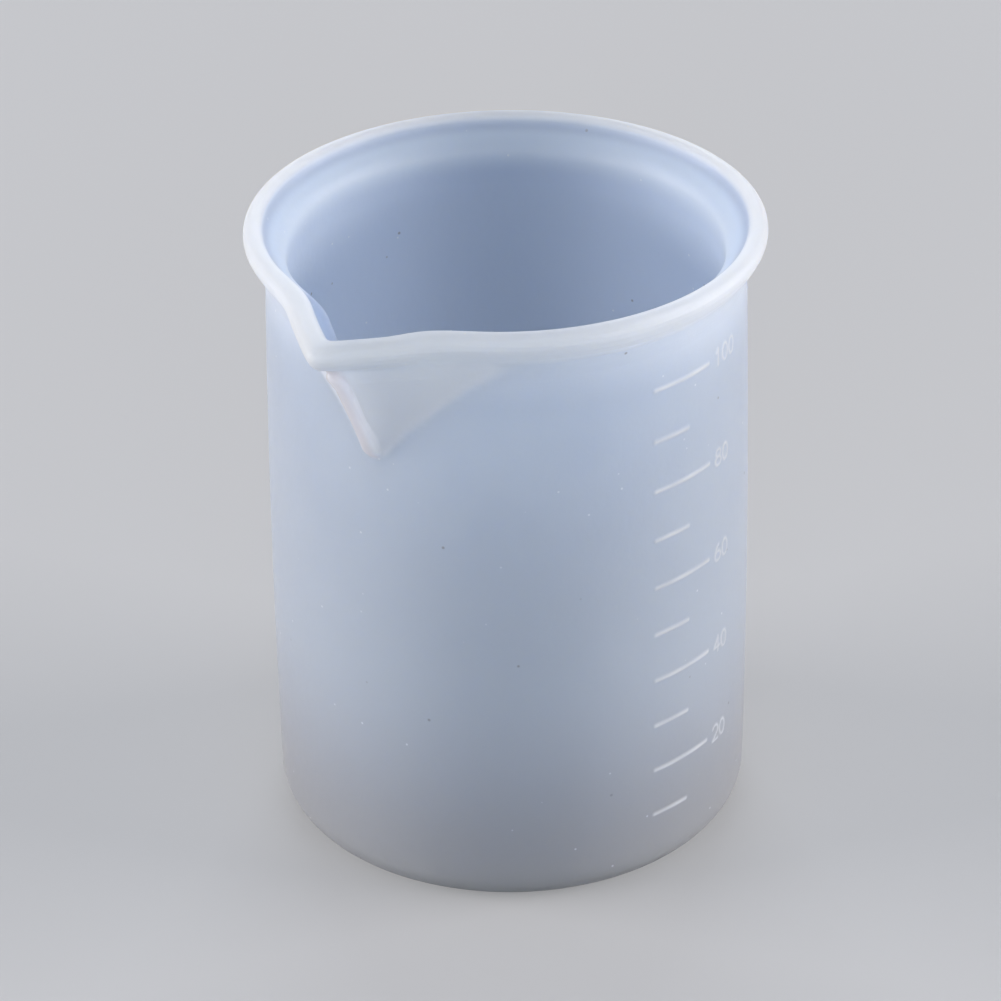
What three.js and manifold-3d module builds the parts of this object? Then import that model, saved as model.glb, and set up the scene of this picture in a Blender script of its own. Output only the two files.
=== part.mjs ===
// A small measuring cup moulded in one piece from milky silicone rubber.
// Lengths are millimetres. The origin is the middle of the underside of the base and +Z runs up
// the axis of the cup. The spout points along -X and the raised scale faces -Y.
// The one moulding is described in four named zones that meet face to face: base, side wall,
// rim and spout. Nothing in the real cup comes apart or turns.

import * as THREE from "three";
import { mergeVertices } from "three/addons/utils/BufferGeometryUtils.js";
import Module from "manifold-3d";

const wasm = await Module();
wasm.setup();

// Body of the cup: a nearly straight barrel, widest low down and narrowest at the neck.
const HEIGHT = 70;
const NECK_RADIUS = 25.35;
const BELLY_SWELL = 0.65;
const BELLY_HEIGHT = 21;
const WALL = 2.3;
const FLOOR = 2.6;
const FOOT_ROUNDING = 3.9;
const CORNER_ROUNDING = 3.2;

// Flared rim with a round lip.
const RIM_RADIUS = 27.5;
const RIM_DEPTH = 6;
const LIP_HEIGHT = 2.8;
const LIP_THICKNESS = 2.2;
const LIP_OVERHANG = 1;

// Pouring spout: two faces that meet in a straight crease and run on into the lip. They stand at a
// sharper angle to each other at the lip than at the foot of the spout. They leave the round lip in
// a hollow bend, and the lip lies a little lower along them.
const SPOUT_REACH = 35.3;
const SPOUT_FACE_DEGREES = 43;
const SPOUT_FOOT_DEGREES = 35;
const SPOUT_DEPTH = 17;
const SPOUT_DIP = 0.4;
const SPOUT_DIP_RUN = 3;
const SPOUT_FILLET = 1.5;
const SPOUT_FOOT_MARGIN = 2.5;
const SPOUT_SIDE_DEGREES = 1.5;

// Raised scale: a short mark and a long mark in turn, starting on one upright line.
const MARK_VOLUME = 10000;
const MARK_WIDTH = 0.7;
const MARK_RELIEF = 0.35;
const SHORT_MARK = 5.2;
const LONG_MARK = 8.7;
const MARK_START_DEGREES = -110.8;
const MARK_HEADROOM = 1.5;

// Fineness of the curved faces, and of the spout, whose faces need a closer net.
const ROUND_STEPS = 72;
const SPOUT_ROUND_STEPS = 180;
const ARC_STEPS = 3;
const WALL_STEPS = 5;
const RIM_STEPS = 4;
const SPOUT_STEPS = 20;
const MARK_STEPS = 5;
const FILL_STEP = 0.02;

// Look of the silicone: milky white with a cold tint and a satin skin.
const SILICONE_COLOUR = 0xdde2ea;
const SILICONE_ROUGHNESS = 0.45;

const neckHeight = HEIGHT - RIM_DEPTH;
const lipUnderside = HEIGHT - LIP_HEIGHT;
const lipRounding = LIP_THICKNESS / 2;
const spoutFoot = HEIGHT - SPOUT_DEPTH;
const spoutBottom = spoutFoot - SPOUT_FOOT_MARGIN;
const spoutAngle = THREE.MathUtils.degToRad(SPOUT_FACE_DEGREES);
const spoutLipInset = RIM_RADIUS - SPOUT_REACH * Math.cos(spoutAngle);
const bellyRadius = NECK_RADIUS + BELLY_SWELL;

// Outer radius of the barrel at a height.
function wallRadius(height) {
  const along = (height - BELLY_HEIGHT) / (neckHeight - BELLY_HEIGHT);
  return bellyRadius - BELLY_SWELL * along ** 2;
}

// Outer radius up to the underside of the lip, with the hollow curve of the flare.
function outerRadius(height) {
  if (height <= neckHeight) return wallRadius(height);
  const along = (height - neckHeight) / (lipUnderside - neckHeight);
  return NECK_RADIUS + (RIM_RADIUS - LIP_OVERHANG - NECK_RADIUS) * along ** 2;
}

// Inner radius of the side wall, rounded where it meets the floor.
function innerRadius(height) {
  const below = THREE.MathUtils.clamp(FLOOR + CORNER_ROUNDING - height, 0, CORNER_ROUNDING);
  const corner = CORNER_ROUNDING - Math.sqrt(CORNER_ROUNDING ** 2 - below ** 2);
  return wallRadius(height) - WALL - corner;
}

// Points of a profile between two heights, following a radius function.
function follow(radiusAt, from, to, steps) {
  const points = [];
  for (let i = 0; i <= steps; i += 1) {
    const height = THREE.MathUtils.lerp(from, to, i / steps);
    points.push(new THREE.Vector2(radiusAt(height), height));
  }
  return points;
}

// Points of a profile along a round edge, given its centre, radius and two angles.
function roundEdge(centreRadius, centreHeight, rounding, from, to) {
  const steps = Math.ceil(ARC_STEPS * Math.abs(to - from) / (Math.PI / 2));
  const points = [];
  for (let i = 0; i <= steps; i += 1) {
    const angle = THREE.MathUtils.lerp(from, to, i / steps);
    const radius = centreRadius + rounding * Math.cos(angle);
    points.push(new THREE.Vector2(radius, centreHeight + rounding * Math.sin(angle)));
  }
  return points;
}

// How far up the spout a height lies, from its foot to the underside of the lip.
function alongSpout(height) {
  return (height - spoutFoot) / (lipUnderside - spoutFoot);
}

// Angle by which each face of the spout is turned from the direction in which the spout points.
function faceAngle(height) {
  const along = THREE.MathUtils.clamp(alongSpout(height), 0, 1);
  const degrees = THREE.MathUtils.lerp(SPOUT_FOOT_DEGREES, SPOUT_FACE_DEGREES, along);
  return THREE.MathUtils.degToRad(degrees);
}

// How far the faces of the spout stand inside the lines that would touch the round cup.
// The crease leaves the wall at the foot of the spout and runs straight out to the lip.
function spoutInset(height) {
  if (height >= lipUnderside) return spoutLipInset;
  const atLip = (outerRadius(lipUnderside) - spoutLipInset) / Math.cos(spoutAngle);
  const crease = THREE.MathUtils.lerp(wallRadius(spoutFoot), atLip, alongSpout(height));
  return outerRadius(height) - crease * Math.cos(faceAngle(height));
}

// The larger of two radii, with a soft hollow where one takes over from the other.
function larger(one, other, hollow) {
  const near = Math.max(0, hollow - Math.abs(one - other));
  const softening = near > 0 ? near ** 2 / (4 * hollow) : 0;
  return Math.max(one, other) + softening;
}

// Draws the round section out to the two faces of the spout, keeping the wall's thickness.
// What is drawn out sinks a little.
function drawSpout(geometry) {
  const position = geometry.attributes.position;
  for (let i = 0; i < position.count; i += 1) {
    const x = position.getX(i);
    const y = position.getY(i);
    const z = position.getZ(i);
    const radius = Math.hypot(x, y);
    const turn = Math.max(0, faceAngle(z) - Math.atan2(Math.abs(y), -x));
    const inset = spoutInset(z);
    const face = (radius - inset) / Math.cos(turn);
    const drawn = larger(radius, face, Math.min(SPOUT_FILLET, inset));
    const dip = SPOUT_DIP * THREE.MathUtils.smoothstep(drawn - radius, 0, SPOUT_DIP_RUN);
    position.setXYZ(i, x * drawn / radius, y * drawn / radius, z - dip);
  }
}

// Revolves a profile of radius and height about the axis of the cup.
function revolve(profile, roundSteps) {
  const geometry = new THREE.LatheGeometry(profile, roundSteps);
  geometry.rotateX(Math.PI / 2);
  return geometry;
}

// Turns a closed surface into a solid that can be joined and cut.
function solid(geometry) {
  const bare = geometry.clone();
  bare.deleteAttribute("normal");
  bare.deleteAttribute("uv");
  const merged = mergeVertices(bare);
  return new wasm.Manifold(new wasm.Mesh({
    numProp: merged.attributes.position.itemSize,
    vertProperties: new Float32Array(merged.attributes.position.array),
    triVerts: new Uint32Array(merged.index.array),
  }));
}

// Turns a finished solid back into a surface.
function surface(body) {
  const { vertProperties, triVerts } = body.getMesh();
  const geometry = new THREE.BufferGeometry();
  geometry.setAttribute("position", new THREE.BufferAttribute(vertProperties, 3));
  geometry.setIndex(new THREE.BufferAttribute(triVerts, 1));
  geometry.computeVertexNormals();
  return geometry;
}

// Base: the floor of the cup with the lower part of its rounded foot.
function baseGeometry() {
  const footCentre = wallRadius(FOOT_ROUNDING) - FOOT_ROUNDING;
  const top = Math.asin((FLOOR - FOOT_ROUNDING) / FOOT_ROUNDING);
  const foot = roundEdge(footCentre, FOOT_ROUNDING, FOOT_ROUNDING, -Math.PI / 2, top);
  const profile = [new THREE.Vector2(0, 0), ...foot, new THREE.Vector2(0, FLOOR)];
  return revolve(profile, ROUND_STEPS);
}

// Side wall: the barrel from the floor to the neck, rounded inside where it meets the floor.
function sideWallSolid() {
  const footCentre = wallRadius(FOOT_ROUNDING) - FOOT_ROUNDING;
  const seat = Math.asin((FLOOR - FOOT_ROUNDING) / FOOT_ROUNDING);
  const cornerTop = FLOOR + CORNER_ROUNDING;
  const cornerCentre = innerRadius(cornerTop) - CORNER_ROUNDING;
  return closedRing([
    ...roundEdge(footCentre, FOOT_ROUNDING, FOOT_ROUNDING, seat, 0),
    ...follow(wallRadius, FOOT_ROUNDING, neckHeight, WALL_STEPS).slice(1),
    ...follow(innerRadius, neckHeight, cornerTop, WALL_STEPS),
    ...roundEdge(cornerCentre, cornerTop, CORNER_ROUNDING, 0, -Math.PI / 2).slice(1),
  ], ROUND_STEPS);
}

// Profile over the rim: up the outside of the flare, round the lip and down the inside.
function rimProfile() {
  const crownCentre = HEIGHT - lipRounding;
  const innerEdge = RIM_RADIUS - LIP_THICKNESS;
  const neckInside = NECK_RADIUS - WALL;
  const under = LIP_OVERHANG;
  const innerFlare = (height) => {
    const along = (height - neckHeight) / (crownCentre - neckHeight);
    return neckInside + (innerEdge - neckInside) * along ** 2;
  };
  return [
    ...follow(outerRadius, neckHeight, lipUnderside, RIM_STEPS),
    ...roundEdge(RIM_RADIUS - under, lipUnderside + under, under, -Math.PI / 2, 0).slice(1),
    ...roundEdge(RIM_RADIUS - lipRounding, crownCentre, lipRounding, 0, Math.PI),
    ...follow(innerFlare, crownCentre, neckHeight, RIM_STEPS).slice(1),
  ];
}

// Spout: the top of the wall and the rim in one close net, of which only the wedge is kept.
function spoutSolid(wedge) {
  const below = spoutBottom - SPOUT_FOOT_MARGIN;
  return closedRing([
    ...follow(wallRadius, below, neckHeight, SPOUT_STEPS),
    ...rimProfile().slice(1),
    ...follow(innerRadius, neckHeight, below, SPOUT_STEPS).slice(1),
  ], SPOUT_ROUND_STEPS).intersect(wedge);
}

// Revolves a profile that closes on itself and draws the spout out of the ring.
function closedRing(profile, roundSteps) {
  const geometry = revolve([...profile, profile[0].clone()], roundSteps);
  drawSpout(geometry);
  return solid(geometry);
}

// Wedge of space, open at the axis, that holds the whole spout.
function spoutWedge() {
  const half = spoutAngle + THREE.MathUtils.degToRad(SPOUT_SIDE_DEGREES);
  const far = SPOUT_REACH * 2;
  const outline = new THREE.Shape();
  outline.moveTo(0, 0);
  outline.lineTo(-far * Math.cos(half), far * Math.sin(half));
  outline.lineTo(-far * Math.cos(half), -far * Math.sin(half));
  const height = SPOUT_DEPTH * 2;
  const block = new THREE.ExtrudeGeometry(outline, { depth: height, bevelEnabled: false });
  block.translate(0, 0, spoutBottom);
  return solid(block);
}

// Level line on the outside of the wall.
class LevelArc extends THREE.Curve {
  constructor(height, length) {
    super();
    this.height = height;
    this.radius = wallRadius(height);
    this.sweep = length / this.radius;
  }

  getPoint(along) {
    const angle = THREE.MathUtils.degToRad(MARK_START_DEGREES) + this.sweep * along;
    return new THREE.Vector3(
      this.radius * Math.cos(angle),
      this.radius * Math.sin(angle),
      this.height,
    );
  }
}

// One raised mark, a low half-round rib whose other half lies inside the wall.
function markSolid(height, length) {
  const section = new THREE.Shape();
  section.absellipse(0, 0, MARK_WIDTH / 2, MARK_RELIEF, 0, Math.PI * 2);
  return solid(new THREE.ExtrudeGeometry(section, {
    steps: MARK_STEPS,
    curveSegments: MARK_STEPS,
    extrudePath: new LevelArc(height, length),
    bevelEnabled: false,
  }));
}

// Height of the liquid's surface for a volume in cubic millimetres.
function fillHeight(volume) {
  let filled = 0;
  let height = FLOOR;
  while (filled < volume) {
    filled += Math.PI * innerRadius(height) ** 2 * FILL_STEP;
    height += FILL_STEP;
  }
  return height;
}

// All raised marks that fit below the neck, short and long in turn.
function scaleMarks() {
  const marks = [];
  let height = fillHeight(MARK_VOLUME);
  while (height < neckHeight - MARK_HEADROOM) {
    marks.push(markSolid(height, marks.length % 2 ? LONG_MARK : SHORT_MARK));
    height = fillHeight(MARK_VOLUME * (marks.length + 1));
  }
  return marks;
}

// Gives a zone of the moulding its name and its own silicone.
function zone(name, geometry) {
  const silicone = new THREE.MeshStandardMaterial({
    color: SILICONE_COLOUR,
    roughness: SILICONE_ROUGHNESS,
    metalness: 0,
  });
  const mesh = new THREE.Mesh(geometry, silicone);
  mesh.name = name;
  return mesh;
}

const wedge = spoutWedge();
const plainWall = sideWallSolid().subtract(wedge);
const markedWall = scaleMarks().reduce((body, mark) => body.add(mark), plainWall);
const rim = closedRing(rimProfile(), ROUND_STEPS).subtract(wedge);

const cup = new THREE.Group();
cup.name = "measuring_cup";
cup.add(zone("base", baseGeometry()));
cup.add(zone("side_wall", surface(markedWall)));
cup.add(zone("rim", surface(rim)));
cup.add(zone("spout", surface(spoutSolid(wedge))));

export default cup;
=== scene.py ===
# %% [markdown]
# A silicone measuring cup
#
# The cup is one soft moulding: a round base, a barrel wall with a raised scale, a flared rim with
# a round lip, and a pouring spout drawn out of the rim. We give it a smooth skin and a milky,
# slightly see-through silicone. The solid model of the same cup is loaded first and is never
# changed. The main sizes below are its sizes, so the skin lies where the solid is.

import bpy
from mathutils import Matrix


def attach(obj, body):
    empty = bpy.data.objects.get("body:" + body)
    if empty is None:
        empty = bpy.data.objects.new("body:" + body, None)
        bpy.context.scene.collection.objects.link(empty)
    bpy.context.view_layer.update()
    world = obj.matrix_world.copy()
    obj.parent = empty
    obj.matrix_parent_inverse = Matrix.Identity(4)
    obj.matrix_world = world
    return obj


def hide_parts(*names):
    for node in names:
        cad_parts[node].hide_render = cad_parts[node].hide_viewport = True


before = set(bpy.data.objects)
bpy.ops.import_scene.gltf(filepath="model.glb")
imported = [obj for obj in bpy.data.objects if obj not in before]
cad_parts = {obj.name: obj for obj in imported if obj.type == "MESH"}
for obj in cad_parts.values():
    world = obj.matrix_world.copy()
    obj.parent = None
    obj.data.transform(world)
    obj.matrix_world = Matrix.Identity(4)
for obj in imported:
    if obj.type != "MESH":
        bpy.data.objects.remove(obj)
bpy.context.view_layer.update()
print("solid zones:", sorted(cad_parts))

# %% [markdown]
# Lens
#
# The picture was taken from a good distance with a long lens, so the cup's sides hardly draw
# together. Blender describes a lens by its focal length for a sensor width. We know the focal length
# in pixels of a square picture, so it only has to be scaled to the width of the sensor.

# %% Lens of the camera
import math

import bpy
from mathutils import Matrix, Vector

MM = 0.001
IMAGE_PIXELS = 1001
FOCAL_PIXELS = 4000
SENSOR_MM = 36
NEAREST_SEEN = 0.01

scene = bpy.context.scene
scene.view_settings.view_transform = "Standard"
lens = bpy.data.cameras.new("picture_camera")
lens.sensor_width = SENSOR_MM
lens.lens = SENSOR_MM * FOCAL_PIXELS / IMAGE_PIXELS
lens.clip_start = NEAREST_SEEN
lens.dof.use_dof = False
print("lens:", round(lens.lens, 1), "mm")

# %% [markdown]
# Camera
#
# The camera looks down at the cup by about thirty degrees, with the spout to the left and the scale
# to the right. It could be aimed with a constraint, but a plain matrix is easier to read and to
# measure: we step back from a point on the cup's axis, look at it, and then turn the camera by three
# small angles about its own axes.

# %% Stand the camera and aim it
AIM_HEIGHT = 32.4 * MM
CAMERA_DISTANCE = 437.25 * MM
CAMERA_AZIMUTH = math.radians(-56)
CAMERA_ELEVATION = math.radians(30.392)
AIM_YAW = math.radians(0.123)
AIM_PITCH = math.radians(0.3616)
AIM_ROLL = math.radians(-0.7489)

right = Vector((math.cos(CAMERA_AZIMUTH), math.sin(CAMERA_AZIMUTH), 0))
level_back = Vector((math.sin(CAMERA_AZIMUTH), -math.cos(CAMERA_AZIMUTH), 0))
back = level_back * math.cos(CAMERA_ELEVATION) + Vector((0, 0, math.sin(CAMERA_ELEVATION)))
axes = Matrix((right, back.cross(right), back)).transposed().to_4x4()
place = Matrix.Translation(Vector((0, 0, AIM_HEIGHT)) + back * CAMERA_DISTANCE)
own_turns = (
    Matrix.Rotation(AIM_YAW, 4, "Y")
    @ Matrix.Rotation(AIM_PITCH, 4, "X")
    @ Matrix.Rotation(AIM_ROLL, 4, "Z")
)
camera = bpy.data.objects.new("picture_camera", lens)
scene.collection.objects.link(camera)
camera.matrix_world = place @ axes @ own_turns
scene.camera = camera
print("camera at", [round(v, 4) for v in camera.location])

# %% [markdown]
# Node helpers
#
# Every finish here is a small tree of nodes. Nodes can be wired by hand in the shader editor. In a
# script three short helpers keep the recipes readable: one starts a material, one adds a node with
# its settings, and one tells whether a ray shows the stage to the eye or only carries light.

# %% Helpers for node trees
def new_material(name):
    """An empty node material with its output, ready for shaders."""
    material = bpy.data.materials.new(name)
    material.use_nodes = True
    material.node_tree.nodes.clear()
    output = material.node_tree.nodes.new("ShaderNodeOutputMaterial")
    return material, material.node_tree, output


def add_node(tree, kind, inputs=None, **settings):
    """A new node with its own settings and the values of its unlinked sockets."""
    node = tree.nodes.new(kind)
    for name, value in settings.items():
        setattr(node, name, value)
    for socket, value in (inputs or {}).items():
        node.inputs[socket].default_value = value
    return node


def seen_ray(tree):
    """A value that is 1 for rays that show the stage to the eye, directly or in gloss and glass."""
    ray = tree.nodes.new("ShaderNodeLightPath")
    seen = ray.outputs["Is Camera Ray"]
    for also in ("Is Glossy Ray", "Is Transmission Ray"):
        either = add_node(tree, "ShaderNodeMath", operation="MAXIMUM")
        tree.links.new(seen, either.inputs[0])
        tree.links.new(ray.outputs[also], either.inputs[1])
        seen = either.outputs["Value"]
    return seen


print("node helpers ready")

# %% [markdown]
# Colour of the floor
#
# The cup stands on a plain pale floor. Its colour is a pale grey with a breath of variation, so that
# the soft shadow under the cup has something to fall on. A pale floor also throws light back up,
# which would wash out the lower wall. One could fence it off with dark cards, as a photographer
# does. Here light that bounces off the floor simply meets a deeper grey, and a faint glow that only
# the eye sees makes up for it.

# %% Pale floor material
BACKGROUND_COLOUR = (0.90, 0.91, 0.93, 1)
FLOOR_PALE = (0.51, 0.505, 0.50, 1)
FLOOR_DEEPER = (0.47, 0.465, 0.46, 1)
FLOOR_BOUNCE = (0.10, 0.10, 0.11, 1)
FLOOR_GLOW = 0.21
FLOOR_PATCH_SCALE = 3.0
FLOOR_ROUGHNESS = 0.9
FLOOR_SHINE = 0.2


def floor_material():
    """Pale to the eye, deeper for the light that it throws back."""
    material, tree, output = new_material("pale_floor")
    shader = add_node(tree, "ShaderNodeBsdfPrincipled", {
        "Roughness": FLOOR_ROUGHNESS,
        "Specular IOR Level": FLOOR_SHINE,
        "Emission Color": BACKGROUND_COLOUR,
    })
    place = tree.nodes.new("ShaderNodeTexCoord")
    patches = add_node(tree, "ShaderNodeTexNoise", {"Scale": FLOOR_PATCH_SCALE})
    tone = tree.nodes.new("ShaderNodeValToRGB")
    tone.color_ramp.elements[0].color = FLOOR_DEEPER
    tone.color_ramp.elements[1].color = FLOOR_PALE
    choice = add_node(tree, "ShaderNodeMix", {"A": FLOOR_BOUNCE}, data_type="RGBA")
    glow = add_node(tree, "ShaderNodeMath", {1: FLOOR_GLOW}, operation="MULTIPLY")
    seen = seen_ray(tree)
    tree.links.new(place.outputs["Object"], patches.inputs["Vector"])
    tree.links.new(patches.outputs["Fac"], tone.inputs["Fac"])
    tree.links.new(seen, choice.inputs["Factor"])
    tree.links.new(tone.outputs["Color"], choice.inputs["B"])
    tree.links.new(choice.outputs["Result"], shader.inputs["Base Color"])
    tree.links.new(seen, glow.inputs[0])
    tree.links.new(glow.outputs["Value"], shader.inputs["Emission Strength"])
    tree.links.new(shader.outputs["BSDF"], output.inputs["Surface"])
    return material


pale_floor = floor_material()
print("floor material:", pale_floor.name)

# %% [markdown]
# Floor
#
# The floor itself is one flat face, large enough that its far edge is out of sight. A curved
# backdrop is common in studios, but this cup is seen from above and a plane is all that shows.

# %% Lay the floor
FLOOR_HALF = 6.0

floor_corners = [
    (side * FLOOR_HALF, depth * FLOOR_HALF, 0)
    for side, depth in ((-1, -1), (1, -1), (1, 1), (-1, 1))
]
floor_mesh = bpy.data.meshes.new("pale_floor")
floor_mesh.from_pydata(floor_corners, [], [(0, 1, 2, 3)])
floor_mesh.materials.append(pale_floor)
floor = bpy.data.objects.new("pale_floor", floor_mesh)
scene.collection.objects.link(floor)
print("floor:", 2 * FLOOR_HALF, "m square")

# %% [markdown]
# Soft boxes
#
# Milky silicone shows its form by soft light from both sides: its flanks are pale, the middle of
# the wall is greyer, and the inside is darkest. Two wide soft boxes stand left and right and quite
# low, so that part of their light goes through the wall and part of it over the rim. A weaker one
# stands in front. The weakest stands behind and looks over the rim into the cup, so the spout and the
# top of the front wall glow from within. Small lamps close by would leave hot spots on the floor, so
# all four are large and far off.

# %% Four soft boxes
SIDE_WHITE = (1.0, 0.96, 0.96)
FRONT_WHITE = (0.84, 0.915, 1.0)
BOX_DISTANCE = 2.5
BOX_WIDE = 1.67
AIM_AT = Vector((0, 0, 35 * MM))
SOFT_BOXES = {
    "left_soft_box": {"azimuth": -144, "elevation": 10, "watts": 61.7, "colour": SIDE_WHITE, "tall": 0.556},
    "right_soft_box": {"azimuth": 32, "elevation": 10, "watts": 62.5, "colour": SIDE_WHITE, "tall": 0.556},
    "front_soft_box": {"azimuth": -56, "elevation": 4, "watts": 30.5, "colour": FRONT_WHITE, "tall": 0.333},
    "back_soft_box": {"azimuth": 124, "elevation": 25, "watts": 18.9, "colour": FRONT_WHITE, "tall": 0.833},
}


def soft_box(name, azimuth, elevation, watts, colour, tall):
    """A flat lamp on a sphere about the cup, facing it. Azimuths are those of a viewer."""
    turn = math.radians(azimuth)
    rise = math.radians(elevation)
    outward = Vector((math.sin(turn) * math.cos(rise), -math.cos(turn) * math.cos(rise), math.sin(rise)))
    lamp = bpy.data.lights.new(name, "AREA")
    lamp.shape = "RECTANGLE"
    lamp.size = BOX_WIDE
    lamp.size_y = tall
    lamp.energy = watts
    lamp.color = colour
    box = bpy.data.objects.new(name, lamp)
    scene.collection.objects.link(box)
    box.location = AIM_AT + outward * BOX_DISTANCE
    box.rotation_mode = "QUATERNION"
    box.rotation_quaternion = outward.to_track_quat("Z", "Y")


for box_name, box_facts in SOFT_BOXES.items():
    soft_box(box_name, **box_facts)
print("lights:", ", ".join(SOFT_BOXES))

# %% [markdown]
# Sky
#
# An even, faintly blue sky fills what the boxes leave dark. It could be one plain background colour,
# but then a weak sky would also look grey. So it has two faces: the weak one lights the cup, and a
# pale one is what the eye and reflections see.

# %% Even sky
SKY_COLOUR = (0.80, 0.86, 1.0, 1)
SKY_STRENGTH = 0.29

sky = bpy.data.worlds.new("studio_sky")
scene.world = sky
sky.use_nodes = True
sky_tree = sky.node_tree
sky_tree.nodes.clear()
sky_output = sky_tree.nodes.new("ShaderNodeOutputWorld")
sky_choice = sky_tree.nodes.new("ShaderNodeMixShader")
sky_fill = add_node(sky_tree, "ShaderNodeBackground", {"Color": SKY_COLOUR, "Strength": SKY_STRENGTH})
sky_seen = add_node(sky_tree, "ShaderNodeBackground", {"Color": BACKGROUND_COLOUR})
sky_tree.links.new(seen_ray(sky_tree), sky_choice.inputs["Fac"])
sky_tree.links.new(sky_fill.outputs["Background"], sky_choice.inputs[1])
sky_tree.links.new(sky_seen.outputs["Background"], sky_choice.inputs[2])
sky_tree.links.new(sky_choice.outputs["Shader"], sky_output.inputs["Surface"])
print("sky strength:", SKY_STRENGTH)

# %% [markdown]
# Profile of the cup
#
# Cut the cup in half and you see one closed line: along the underside, round the foot, up the
# barrel, out over the flare, round the lip and back down the inside to the floor. Spinning a curve
# with a modifier would give the round part, but the spout has to be drawn out of it, so we keep the
# line as plain numbers and spin it ourselves. First the barrel and its rounded foot.

# %% Barrel, foot and floor
import numpy as np

HEIGHT = 70.0
NECK_RADIUS = 25.35
BELLY_SWELL = 0.65
BELLY_HEIGHT = 21.0
WALL = 2.3
FLOOR_THICKNESS = 2.6
FOOT_ROUNDING = 3.9
CORNER_ROUNDING = 3.2
RIM_RADIUS = 27.5
RIM_DEPTH = 6.0
NECK_HEIGHT = HEIGHT - RIM_DEPTH


def wall_radius(height):
    """Outside of the barrel: widest low down, narrowest at the neck."""
    along = (height - BELLY_HEIGHT) / (NECK_HEIGHT - BELLY_HEIGHT)
    return NECK_RADIUS + BELLY_SWELL * (1 - along**2)


def inner_radius(height):
    """Inside of the barrel, rounded where it meets the floor."""
    below = np.clip(FLOOR_THICKNESS + CORNER_ROUNDING - height, 0, CORNER_ROUNDING)
    corner = CORNER_ROUNDING - np.sqrt(CORNER_ROUNDING**2 - below**2)
    return wall_radius(height) - WALL - corner


print("barrel: belly", wall_radius(BELLY_HEIGHT), "mm, neck", wall_radius(NECK_HEIGHT), "mm")

# %% [markdown]
# Lines and how to smooth them
#
# A profile is drawn from straight runs and arcs, like a sketch for a lathe. A mould maker then
# polishes the sharp corners away. Blender's bevel could round each corner by one radius. Smoothing
# the line along its own length gives the melted look of cast rubber instead, so we make helpers that
# space a line evenly and blur it.

# %% Helpers for lines
SMOOTHING_REACH = 4


def arc(centre_radius, centre_height, rounding, start, end, steps):
    """Points of a round edge in the profile, between two angles in degrees."""
    angle = np.radians(np.linspace(start, end, steps))
    return np.stack([centre_radius + rounding * np.cos(angle), centre_height + rounding * np.sin(angle)], 1)


def along_wall(radius_at, heights):
    """Points of the profile that follow a radius at a row of heights."""
    return np.stack([radius_at(heights), heights], 1)


def ramp(value, start, end):
    """0 before start, 1 after end, and a soft rise between them."""
    share = np.clip((value - start) / (end - start), 0, 1)
    return share * share * (3 - 2 * share)


def resample(line, gap):
    """The same line with its points evenly spaced."""
    run = np.concatenate([[0], np.cumsum(np.hypot(*np.diff(line, axis=0).T))])
    marks = np.linspace(0, run[-1], int(run[-1] / gap) + 1)
    return np.stack([np.interp(marks, run, line[:, k]) for k in range(2)], 1)


def polish(line, gap, width):
    """Smooths a line along its own length, leaving its ends where they are."""
    reach = int(SMOOTHING_REACH * width / gap)
    weight = np.exp(-0.5 * (np.arange(-reach, reach + 1) * gap / width) ** 2)
    weight /= weight.sum()
    start = 2 * line[0] - line[reach:0:-1]
    end = 2 * line[-1] - line[-2 : -reach - 2 : -1]
    longer = np.concatenate([start, line, end])
    return np.stack([np.convolve(longer[:, k], weight, "valid") for k in range(2)], 1)


print("a soft rise is half way up at its middle:", ramp(0.5, 0, 1))

# %% [markdown]
# Rim and lip
#
# Under the lip the wall swings outwards in a hollow curve, and inside it turns out over a rounded
# shoulder that catches the light as a pale ring, which the material also paints as a painted
# highlight. The lip is a soft bead on top. Where the bead sits on the flare the mould leaves no sharp
# corner, so the line is smoothed a little round the crown, and much more underneath, where the lip
# runs on into the wall without a ledge.

# %% Rim line, smoothed
LIP_HEIGHT = 2.8
LIP_THICKNESS = 2.2
LIP_OVERHANG = 1.0
LIP_UNDERSIDE = HEIGHT - LIP_HEIGHT
LIP_ROUNDING = LIP_THICKNESS / 2
SHOULDER_HEIGHT = 65.6
SHOULDER_ROUNDING = 3.0
SHOULDER_FROM = 120
FLARE_POINTS = 60
OVERHANG_POINTS = 30
CROWN_POINTS = 60
SHOULDER_POINTS = 40
RIM_SAMPLE = 0.05
CROWN_SMOOTHING = 0.28
UNDERSIDE_SMOOTHING = 0.85
UNDERSIDE_TOP = 68.9
UNDERSIDE_FULL = 67.8
RIM_RING_GAP = 0.2


def flare_radius(height):
    """Outside of the flare, from the neck to the underside of the lip."""
    along = (height - NECK_HEIGHT) / (LIP_UNDERSIDE - NECK_HEIGHT)
    return NECK_RADIUS + (RIM_RADIUS - LIP_OVERHANG - NECK_RADIUS) * along**2


neck_inside = NECK_RADIUS - WALL
rim_line = np.concatenate([
    along_wall(flare_radius, np.linspace(NECK_HEIGHT, LIP_UNDERSIDE, FLARE_POINTS)),
    arc(RIM_RADIUS - LIP_OVERHANG, LIP_UNDERSIDE + LIP_OVERHANG, LIP_OVERHANG, -90, 0, OVERHANG_POINTS),
    arc(RIM_RADIUS - LIP_ROUNDING, HEIGHT - LIP_ROUNDING, LIP_ROUNDING, 0, 180, CROWN_POINTS),
    arc(
        neck_inside + SHOULDER_ROUNDING,
        SHOULDER_HEIGHT,
        SHOULDER_ROUNDING,
        SHOULDER_FROM,
        180,
        SHOULDER_POINTS,
    ),
    [(neck_inside, NECK_HEIGHT)],
])
rim_line = resample(rim_line, RIM_SAMPLE)
crown_line = polish(rim_line, RIM_SAMPLE, CROWN_SMOOTHING)
under_line = polish(rim_line, RIM_SAMPLE, UNDERSIDE_SMOOTHING)
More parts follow.
